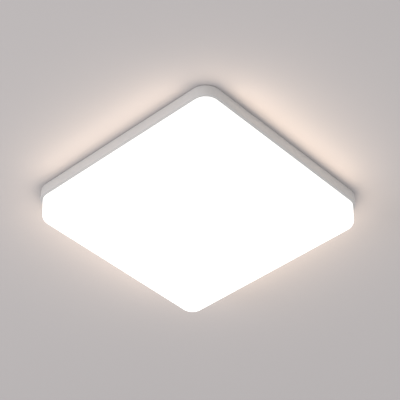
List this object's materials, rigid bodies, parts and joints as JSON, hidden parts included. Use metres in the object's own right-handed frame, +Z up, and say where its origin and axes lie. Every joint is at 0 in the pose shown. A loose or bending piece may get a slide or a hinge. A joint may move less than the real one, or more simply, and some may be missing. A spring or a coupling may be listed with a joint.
{
  "type": "flush mount ceiling light",
  "caption": "Square flush mount ceiling light: an opal clip-on cover over a moulded pan, with a light board, driver and push-in supply terminal inside.",
  "frame": {"origin": "middle of the ceiling bar's two slots, on the ceiling plane", "axes": "+Z points up into the ceiling, +X along the ceiling bar, +Y across it towards the driver; the light hangs down towards -Z"},
  "size_m": [0.3, 0.3, 0.048],
  "materials": {
    "zinc_steel": "zinc plated",
    "pan_plastic": "fine matt",
    "screw_steel": "zinc plated",
    "black_rubber": "matt",
    "seal_foam": "matt foam",
    "spring_steel": "bright rolled",
    "opal_plastic": "satin opal, lit from inside",
    "white_steel": "satin powder coat",
    "board_white": "satin",
    "phosphor": "satin",
    "connector_plastic": "satin",
    "case_plastic": "fine matt",
    "circuit_board": "satin",
    "winding_tape": "satin",
    "can_sleeve": "satin sleeve",
    "choke_black": "satin",
    "terminal_plastic": "satin",
    "brass_bar": "bright",
    "button_black": "satin",
    "button_white": "satin",
    "button_green": "satin",
    "tinned_brass": "tin plated",
    "lead_black": "satin",
    "lead_white": "satin",
    "lead_green": "satin",
    "lead_red": "satin"
  },
  "bodies": {
    "housing": {"base_pan": "pan_plastic", "board_connector": "connector_plastic", "board_screws": "screw_steel", "cover_seal": "seal_foam", "cover_springs": "spring_steel", "driver_base": "case_plastic", "driver_board": "circuit_board", "driver_capacitors": "can_sleeve", "driver_chips": "choke_black", "driver_choke": "choke_black", "driver_cover": "case_plastic", "driver_terminals": "connector_plastic", "driver_transformer": "winding_tape", "gear_tray": "white_steel", "ground_lead": "lead_green", "ground_spade": "tinned_brass", "ground_spring": "spring_steel", "led_board": "board_white", "led_chips": "phosphor", "led_lead_negative": "lead_black", "led_lead_positive": "lead_red", "line_lead": "lead_black", "line_spring": "spring_steel", "mounting_bar": "zinc_steel", "neutral_lead": "lead_white", "neutral_spring": "spring_steel", "pan_screws": "screw_steel", "terminal_bars": "brass_bar", "terminal_housing": "terminal_plastic", "wire_grommet": "black_rubber"},
    "cover": {"diffuser": "opal_plastic"},
    "line_button": {"line_button": "button_black"},
    "neutral_button": {"neutral_button": "button_white"},
    "ground_button": {"ground_button": "button_green"}
  },
  "joints": [
    {"name": "cover_release", "type": "slide", "parent": "housing", "child": "cover", "axis": [0, 0, -1], "range_m": [0, 0.07], "deforming": ["cover_springs"]},
    {"name": "line_push", "type": "slide", "parent": "housing", "child": "line_button", "axis": [0, 0, 1], "range_m": [0, 0.0015], "stiffness_N_per_m": 1500, "deforming": ["line_spring"]},
    {"name": "neutral_push", "type": "slide", "parent": "housing", "child": "neutral_button", "axis": [0, 0, 1], "range_m": [0, 0.0015], "stiffness_N_per_m": 1500, "deforming": ["neutral_spring"]},
    {"name": "ground_push", "type": "slide", "parent": "housing", "child": "ground_button", "axis": [0, 0, 1], "range_m": [0, 0.0015], "stiffness_N_per_m": 1500, "deforming": ["ground_spring"]}
  ]
}
